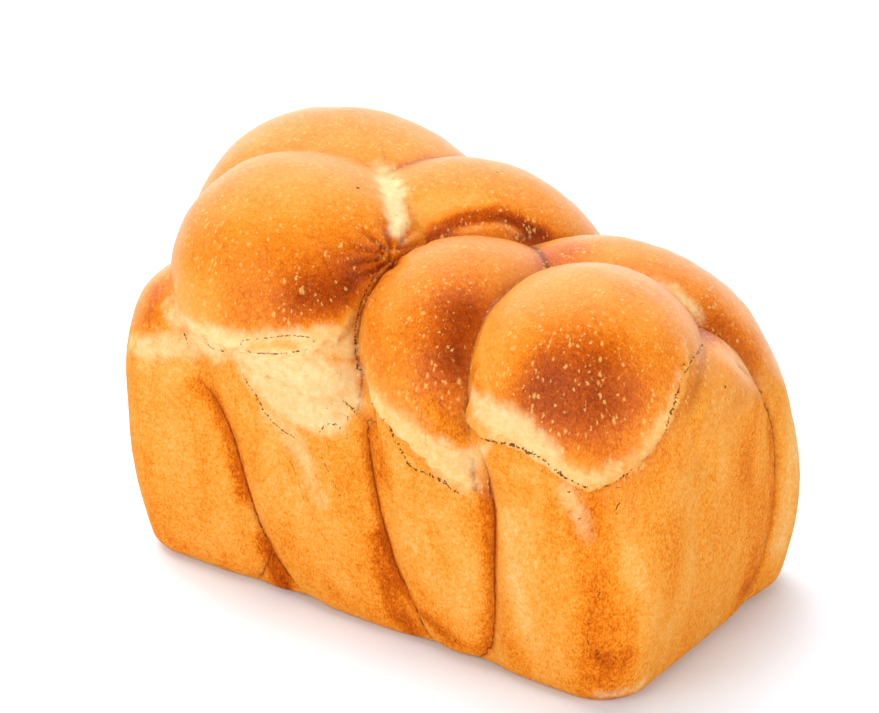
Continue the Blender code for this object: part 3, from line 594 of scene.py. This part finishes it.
def paintCrust(crust, points, outward, ragged, torn):
    # values the material reads at each point of the crust
    p = painting
    names = list(lines["strands"])
    skins = np.array([strandField(points, line)[0] for line in lines["strands"].values()])
    owner = skins.argmin(axis=0)
    low, high = np.sort(np.argsort(skins, axis=0)[:2], axis=0)
    each = np.arange(len(points))
    seam = (skins[low, each] - skins[high, each]) / 2   # signed, so that the line stays thin between points
    buried = np.maximum(-skins.min(axis=0) - p["seamBuried"], 0)
    # how much shade is painted along the seam between each pair of strands
    pairShades = np.full((len(names), len(names)), browning["seamShade"])
    for pair in browning["seamShades"]:
        first, second = names.index(pair[0]), names.index(pair[1])
        pairShades[first, second] = pairShades[second, first] = pair[2]
    seamShade = pairShades[low, high] * np.clip(1 - buried, 0, 1)

    rimAway = np.full(len(points), p["farFromRim"])
    for line in lines["rims"]:
        close, away, height, _ = besideLine(points, outward, line, p["reach"])
        away = away + ragged[close] * crustMarks["rimRaggedness"]
        keepNearest((rimAway,), close, (away,), height > p["leastRim"])
    underTop = np.clip((p["wallTop"] - points[:, 2]) / p["wallFade"], 0, 1)
    belowRim = np.where(np.abs(rimAway) < p["reach"], np.clip(0.5 - rimAway, 0, 1), underTop)
    pressed = np.clip((tinField(points)[0] + p["tinNear"]) / p["tinFade"], 0, 1) * belowRim

    bake = browning["dome"] + (browning["wall"] - browning["dome"]) * pressed
    bake += grains(points, browning["clouds"])
    for (name, amount, halfWidth, _), line in zip(browning["zones"], lines["zones"]):
        away = nearLine(points, line)[0] + ragged * p["zoneRaggedness"]
        if halfWidth > p["wideZone"]:
            share = np.exp(-(away / halfWidth) ** 2)
        else:
            share = np.exp(-np.abs(away / halfWidth / p["narrowSpread"]) ** 3)   # keeps a firmer edge
        bake += amount * share * (owner == names.index(name) if name else 1)
    # painted shade: browner where the pucker's folds are deepest
    bake += p["puckerShade"] * puckerDepth(points)
    fade = np.clip(1 - np.abs(rimAway) / p["rimPaleReach"], 0, 1)
    bake -= p["rimPaler"] * fade ** 2 * (rimAway > 0)

    # each torn band's paleness, blended where bands meet
    share, paleness = 1e-9, 0.0
    for (tone, _), line in zip(browning["torn"], lines["torn"]):
        away, halfWidth = nearLine(points, line)
        here = np.exp((halfWidth - away) / p["tornBlend"])
        share, paleness = share + here, paleness + here * tone
    paleness /= share

    # painted shade in each crease, fuller where the crease is deeper
    crease, creaseShade = np.full(len(points), p["farFromCrease"]), np.zeros(len(points))
    for line in lines["creases"]:
        close, away, depth, beside = besideLine(points, outward, line, p["reach"])
        tone = np.clip(depth / p["fullCrease"], 0, 1)
        keepNearest((crease, creaseShade), close, (away, tone), beside > 0)
    # where shadow is painted in the gaps under torn edges, and how wide
    gapShadow, gapDepth = np.full(len(points), p["farFromGap"]), np.zeros(len(points))
    for line in lines["gaps"]:
        close, away, depth, beside = besideLine(points, outward, line, p["gapReach"])
        inSpace = nearLine(points[close], line)[0]
        keepNearest((gapShadow, gapDepth), close, (away, depth * beside), inSpace < p["gapReach"])
    speck = np.full(len(points), p["farFromGap"])
    for *centre, radius in browning["blackSpecks"]:
        speck = np.minimum(speck, np.linalg.norm(points - centre, axis=1) - radius)

    for name, values in zip(paintLayers, (bake, pressed, torn, paleness, seam, seamShade, crease, creaseShade,
                                          gapShadow, gapDepth, speck)):
        layer = crust.data.attributes.new(name, "FLOAT", "POINT")
        layer.data.foreach_set("value", values.astype(np.float32))


# What the crust's finish is made of
crustFinish = {
    # egg-washed crust from pale to nearly burnt
    "browns": [(0.0, "#dfb272"), (0.20, "#df9f4d"), (0.40, "#de8c2c"), (0.55, "#d67513"), (0.70, "#be5907"),
               (0.85, "#a44404"), (1.0, "#822f03")],
    "crumbLight": "#ecd8a6", "crumbDeep": "#d8ad68", "crumbPit": "#a9691f",
    # the gap colour is painted shadow in the gaps under torn edges
    # the margin and dark line colours are painted shade and shadow in creases and seams
    "blister": "#e6b565", "pore": "#8f470f", "gapShadow": "#5e2a0a", "shadeMargin": "#b24f0a", "shadowLine": "#7d3306",
    "burnt": "#1c120c",
    # patterns, each with a scale of one over its size in millimetres
    "mottle": {"Scale": 1 / 0.5, "Detail": 3.0, "Roughness": 0.65},
    "patch": {"Scale": 1 / 1.5, "Detail": 3.0, "Roughness": 0.6},
    "streak": {"Scale": 1 / 9.0, "Detail": 4.0, "Roughness": 0.55},
    "thinning": {"Scale": 1 / 9.0, "Detail": 2.0},
    "shred": {"Scale": 1 / 2.6, "Detail": 4.0, "Roughness": 0.7},
    "drawnOut": {"Scale": 1 / 3.0, "Detail": 3.0},
    "gapBreak": {"Scale": 1 / 0.7692, "Detail": 2.0},
    "wander": {"Scale": 1 / 0.9091, "Detail": 2.0}, "wanderReach": (1.2, 1.2, 1.2),
    "tall": (1.0, 1.0, 0.55), "upright": (1.0, 1.0, 0.3),   # stretched up the walls
    # how much each pattern browns the crust
    "patchShare": 0.6, "mottleMiddle": 0.8, "mottleAmount": {"To Min": 0.6, "To Max": 0.85},
    "streakMiddle": 0.5, "domeStreak": 0.1, "wallStreak": 0.35,
    # creases and seams: the soft redder margin of painted shade, and the thin line of painted shadow in it
    "shadeMarginEdge": {"From Min": 1.9, "From Max": 0.2, "To Max": 0.6},
    "shadowLineEdge": {"From Min": 0.05, "From Max": -0.4, "To Max": 0.9},
    # blisters: spacing, largest size as a share of it, rarity of large ones
    "blisters": [(1.25, 0.46, 1.7), (2.6, 0.27, 2.6)], "blisterShare": 0.54,
    "thinned": {"From Min": 0.3, "From Max": 0.62, "To Min": -0.14, "To Max": 0.03},
    "blisterEdge": {"From Min": -0.08, "From Max": 0.12},
    "poreSpacing": 2.1, "poreSize": {"From Min": 0.45, "To Max": 0.15},
    "poreEdge": {"From Min": -0.02, "From Max": 0.06, "To Max": 0.55},
    # torn crumb: how far each pattern frays its edge, then its tones
    "frays": {"shred": 2.0, "drawnOut": 4.0}, "crumbEdge": {"From Min": 0.6, "From Max": 5.6},
    "crumbTone": {"From Min": 0.72, "From Max": 0.30},
    "pitTone": {"From Min": 0.37, "From Max": 0.27, "To Max": 0.6},
    "crumbWarmth": {"From Min": 0.5, "From Max": 1.0, "To Min": 1.0, "To Max": 0.35},
    "gapReach": {"From Min": 0.42, "From Max": 0.68, "To Min": -0.25, "To Max": 0.75},
    "gapEdge": {"From Min": -0.12, "From Max": 0.2, "To Max": 0.9},
    "speckEdge": {"From Min": 0.35, "From Max": -0.1},
    # height in millimetres
    "grainHeight": {"To Min": 0.10, "To Max": 0.34},
    "blisterHeight": 0.07, "poreHeight": -0.15, "crumbHeight": 0.3, "gapHeight": -0.3,
    "crustRoughness": {"To Min": 0.48, "To Max": 0.7}, "crumbRoughness": 0.9,
    "ior": 1.5, "specular": 0.06, "coatIor": 1.36, "coatRoughness": 0.32,
}


def makeEggWashedCrust():
    # baked egg-washed bread crust: a thin hard glaze over brown crust, grainy where the tin touched it,
    # blistered on top, and torn open to soft pale crumb along its edges
    f = crustFinish
    material = bpy.data.materials.new("eggWashedCrust")
    material.use_nodes = True
    tree = material.node_tree
    tree.nodes.clear()
    where = addNode(tree, "TexCoord", out="Object")
    spot = addNode(tree, "VectorMath", {"operation": "SCALE"}, {0: where, "Scale": 1 / mm})
    tall, upright = (addNode(tree, "VectorMath", times, {0: spot, 1: f[name]})
                     for name in ("tall", "upright"))
    patterns = {name: addNode(tree, "TexNoise", {}, {"Vector": way, **f[name]}, "Fac")
                for name, way in (("mottle", tall), ("patch", spot), ("streak", upright), ("thinning", spot),
                                  ("shred", spot), ("drawnOut", upright), ("gapBreak", spot))}
    layers = {name: addNode(tree, "Attribute", {"attribute_name": name}, out="Fac")
              for name in paintLayers}
    pressed = layers["pressed"]
    free = addNode(tree, "Math", minusClamped, {0: 1.0, 1: pressed})

    # how brown it is: fine mottle, strongest on the walls, and streaks up them
    both = addNode(tree, "Math", timesPlus,
                   {0: patterns["patch"], 1: f["patchShare"], 2: patterns["mottle"]})
    centred = addNode(tree, "Math", minus, {0: both, 1: f["mottleMiddle"]})
    amount = addNode(tree, "MapRange", {}, {"Value": pressed, **f["mottleAmount"]})
    bake = addNode(tree, "Math", timesPlus, {0: centred, 1: amount, 2: layers["bake"]})
    centred = addNode(tree, "Math", minus, {0: patterns["streak"], 1: f["streakMiddle"]})
    amount = addNode(tree, "Math", timesPlus, {0: pressed, 1: f["wallStreak"], 2: f["domeStreak"]})
    bake = addNode(tree, "Math", timesPlus, {0: centred, 1: amount, 2: bake})
    ramp = addNode(tree, "ValToRGB", {}, {"Fac": bake}, None)
    stops = ramp.color_ramp.elements
    (_, palest), *others, (_, darkest) = f["browns"]
    stops[0].color, stops[1].color = fromHex(palest), fromHex(darkest)
    for place, code in others:
        stops.new(place).color = fromHex(code)
    colour = ramp.outputs["Color"]

    # creases and seams: painted shade, a soft redder margin with a thin dark line of painted shadow
    seamShade = addNode(tree, "Math", times, {0: layers["seamShade"], 1: free})
    for signed, tone in ((layers["crease"], layers["creaseShade"]), (layers["seam"], seamShade)):
        away = addNode(tree, "Math", absolute, {0: signed})
        frayed = addNode(tree, "Math", minus, {0: away, 1: patterns["mottle"]})
        for value, band in ((away, "shadeMargin"), (frayed, "shadowLine")):
            mask = addNode(tree, "MapRange", smoothed, {"Value": value, **f[band + "Edge"]})
            mask = addNode(tree, "Math", times, {0: mask, 1: tone})
            colour = addNode(tree, "Mix", ofColours, {0: mask, 6: colour, 7: fromHex(f[band])}, 2)

    # pale blisters in the glaze: many fine ones, fewer large ones of uneven size
    wander = addNode(tree, "TexNoise", {}, {"Vector": spot, **f["wander"]}, "Color")
    uneven = addNode(tree, "VectorMath", timesPlus, {0: wander, 1: f["wanderReach"], 2: tall})
    thinned = addNode(tree, "MapRange", {}, {"Value": patterns["thinning"], **f["thinned"]})
    blisters = 0.0
    for spacing, largest, rarity in f["blisters"]:
        cells = addNode(tree, "TexVoronoi", {}, {"Vector": uneven, "Scale": 1 / spacing}, None)
        luck = addNode(tree, "SeparateColor", {}, {0: cells.outputs["Color"]})
        rare = addNode(tree, "Math", {"operation": "POWER"}, {0: luck, 1: rarity})
        size = addNode(tree, "Math", timesPlus, {0: rare, 1: largest, 2: thinned})
        inside = addNode(tree, "Math", minus, {0: size, 1: cells.outputs["Distance"]})
        mask = addNode(tree, "MapRange", smoothed, {"Value": inside, **f["blisterEdge"]})
        blisters = addNode(tree, "Math", {"operation": "MAXIMUM"}, {0: blisters, 1: mask})
    blisters = addNode(tree, "Math", times, {0: blisters, 1: free})
    blisterMask = addNode(tree, "Math", times, {0: blisters, 1: f["blisterShare"]})

    # small dark pores
    cells = addNode(tree, "TexVoronoi", {}, {"Vector": spot, "Scale": 1 / f["poreSpacing"]}, None)
    luck = addNode(tree, "SeparateColor", {}, {0: cells.outputs["Color"]}, 1)
    size = addNode(tree, "MapRange", {}, {"Value": luck, **f["poreSize"]})
    inside = addNode(tree, "Math", minus, {0: size, 1: cells.outputs["Distance"]})
    poreMask = addNode(tree, "MapRange", smoothed, {"Value": inside, **f["poreEdge"]})

    # torn crumb with its frayed edge, deeper tones and pits
    inside = layers["torn"]
    for name, fray in f["frays"].items():
        inside = addNode(tree, "Math", timesPlus, {0: patterns[name], 1: fray, 2: inside})
    crumb = addNode(tree, "MapRange", smoothed, {"Value": inside, **f["crumbEdge"]})
    tone = addNode(tree, "MapRange", {}, {"Value": patterns["shred"], **f["crumbTone"]})
    warmth = addNode(tree, "MapRange", {}, {"Value": layers["paleness"], **f["crumbWarmth"]})
    tone = addNode(tree, "Math", times, {0: tone, 1: warmth})
    crumbColour = addNode(tree, "Mix", ofColours,
                          {0: tone, 6: fromHex(f["crumbLight"]), 7: fromHex(f["crumbDeep"])}, 2)
    pit = addNode(tree, "MapRange", {}, {"Value": patterns["shred"], **f["pitTone"]})
    crumbColour = addNode(tree, "Mix", ofColours, {0: pit, 6: crumbColour, 7: fromHex(f["crumbPit"])}, 2)
    crumbMask = addNode(tree, "Math", times, {0: crumb, 1: layers["paleness"]})

    # broken gaps painted dark as shadow, and a few burnt specks
    away = addNode(tree, "Math", absolute, {0: layers["gapShadow"]})
    reach = addNode(tree, "MapRange", {}, {"Value": patterns["gapBreak"], **f["gapReach"]})
    width = addNode(tree, "Math", times, {0: reach, 1: layers["gapDepth"]})
    inside = addNode(tree, "Math", minus, {0: width, 1: away})
    gapShadowMask = addNode(tree, "MapRange", smoothed, {"Value": inside, **f["gapEdge"]})
    speckMask = addNode(tree, "MapRange", {}, {"Value": layers["speck"], **f["speckEdge"]})

    for mask, over in ((blisterMask, fromHex(f["blister"])), (poreMask, fromHex(f["pore"])),
                       (crumbMask, crumbColour), (gapShadowMask, fromHex(f["gapShadow"])),
                       (speckMask, fromHex(f["burnt"]))):
        colour = addNode(tree, "Mix", ofColours, {0: mask, 6: colour, 7: over}, 2)

    rough = addNode(tree, "MapRange", {}, {"Value": pressed, **f["crustRoughness"]})
    rough = addNode(tree, "Mix", {}, {0: crumb, 2: rough, 3: f["crumbRoughness"]})

    # the egg wash lies on the domes alone, and not on torn crumb or in a gap
    glaze = free
    for bare in (crumb, gapShadowMask):
        whole = addNode(tree, "Math", minusClamped, {0: 1.0, 1: bare})
        glaze = addNode(tree, "Math", times, {0: glaze, 1: whole})

    # height in millimetres
    grainHeight = addNode(tree, "MapRange", {}, {"Value": pressed, **f["grainHeight"]})
    height = addNode(tree, "Math", times, {0: patterns["mottle"], 1: grainHeight})
    shreds = addNode(tree, "Math", times, {0: patterns["shred"], 1: crumb})
    for mark, name in ((blisters, "blisterHeight"), (poreMask, "poreHeight"), (shreds, "crumbHeight"),
                       (gapShadowMask, "gapHeight")):
        height = addNode(tree, "Math", timesPlus, {0: mark, 1: f[name], 2: height})
    bump = addNode(tree, "Bump", {}, {"Height": height, "Strength": 1.0, "Distance": mm})
    surface = addNode(tree, "BsdfPrincipled", {}, {
        "Base Color": colour, "Roughness": rough, "IOR": f["ior"], "Specular IOR Level": f["specular"],
        "Coat Weight": glaze, "Coat Roughness": f["coatRoughness"], "Coat IOR": f["coatIor"],
        "Normal": bump, "Coat Normal": bump})
    addNode(tree, "OutputMaterial", {}, {"Surface": surface}, None)
    return material


crust, points, outward, ragged, torn = makeCrust()
print("crust shaped:", len(points), "points")
paintCrust(crust, points, outward, ragged, torn)
crust.data.materials.clear()
crust.data.materials.append(makeEggWashedCrust())
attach(crust, "root")
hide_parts("loaf")
print("crust painted")

# White sweep, wide soft lights all round as in a white tent, and the camera
studio = {
    "floorSize": 8.0, "floorWhite": "#eff7ff", "floorRoughness": 0.9,
    # what the glaze mirrors: a glow in one direction, and how white the backdrop is to the camera
    "backdrop": {"towards": (-0.45, 0.80, 0.38), "edge": 0.3, "middle": 0.9, "bright": 1.5, "dim": 0.0,
                 "white": 1.2},
    "lit": (0, 0, 0.06),   # what the lights point at
    # where each stands and how large it is in metres, and its power in watts
    "lights": {
        "overhead": {"place": (-0.5, 0.2, 1.5), "size": 1.4, "power": 22.5},
        "front": {"place": (-0.2, -1.8, 0.6), "size": 1.8, "power": 37.8},
        "right": {"place": (1.9, -0.4, 0.6), "size": 1.6, "power": 33.5},
        "left": {"place": (-1.9, 0.2, 0.9), "size": 1.6, "power": 17.5},
    },
    "camera": {"azimuth": 35.6, "elevation": 23.3, "distance": 0.768, "right": -0.0070, "up": 0.0634,
               "lens": 100.0, "sensor": 36.0},
}


def makeStudio():
    # the white sweep, the backdrop and the lights
    size = studio["floorSize"] / 2
    floorMesh = bpy.data.meshes.new("floor")
    floorMesh.from_pydata([(-size, -size, 0), (size, -size, 0), (size, size, 0), (-size, size, 0)], [],
                          [(0, 1, 2, 3)])
    floor = addObject("floor", floorMesh)
    paper = bpy.data.materials.new("mattWhitePaper")   # matt white paper sweep: even, no gloss
    paper.use_nodes = True
    surface = paper.node_tree.nodes["Principled BSDF"]
    surface.inputs["Base Color"].default_value = fromHex(studio["floorWhite"])
    surface.inputs["Roughness"].default_value = studio["floorRoughness"]
    surface.inputs["Specular IOR Level"].default_value = 0.0
    floorMesh.materials.append(paper)
    floor.visible_glossy = False

    world = bpy.data.worlds.new("whiteTent")
    bpy.context.scene.world = world
    world.use_nodes = True
    tree = world.node_tree
    tree.nodes.clear()
    backdrop = studio["backdrop"]
    seen = addNode(tree, "LightPath", out="Is Camera Ray")
    way = addNode(tree, "TexCoord", out="Generated")
    facing = addNode(tree, "VectorMath", {"operation": "DOT_PRODUCT"},
                     {0: way, 1: backdrop["towards"]}, "Value")
    glow = addNode(tree, "MapRange", smoothed,
                   {"Value": facing, "From Min": backdrop["edge"], "From Max": backdrop["middle"],
                    "To Min": backdrop["dim"], "To Max": backdrop["bright"]})
    strength = addNode(tree, "Mix", {}, {0: seen, 2: glow, 3: backdrop["white"]})
    sky = addNode(tree, "Background", {}, {"Color": (1, 1, 1, 1), "Strength": strength})
    addNode(tree, "OutputWorld", {}, {"Surface": sky}, None)

    for name, light in studio["lights"].items():
        lamp = bpy.data.lights.new(name, "AREA")
        lamp.size, lamp.energy = light["size"], light["power"]
        softbox = addObject(name, lamp)
        softbox.location = light["place"]
        towards = Vector(studio["lit"]) - softbox.location
        softbox.rotation_euler = towards.to_track_quat("-Z", "Y").to_euler()
        softbox.visible_glossy = False


def makeCamera():
    # turned about the loaf's own middle line, then moved across its view
    view = studio["camera"]
    turn, rise = math.radians(view["azimuth"]), math.radians(view["elevation"])
    back = Vector((math.sin(turn) * math.cos(rise), -math.cos(turn) * math.cos(rise), math.sin(rise)))
    right = Vector((math.cos(turn), math.sin(turn), 0))
    up = back.cross(right)
    camera = addObject("camera", bpy.data.cameras.new("camera"))
    camera.data.lens, camera.data.sensor_width = view["lens"], view["sensor"]
    camera.location = (right * view["right"] + up * view["up"] + back * view["distance"]
                       - Vector(dough["middle"]) * mm)
    camera.rotation_euler = (-back).to_track_quat("-Z", "Y").to_euler()
    bpy.context.scene.camera = camera


makeStudio()
makeCamera()
bpy.context.scene.view_settings.view_transform = "Standard"
print("studio ready")
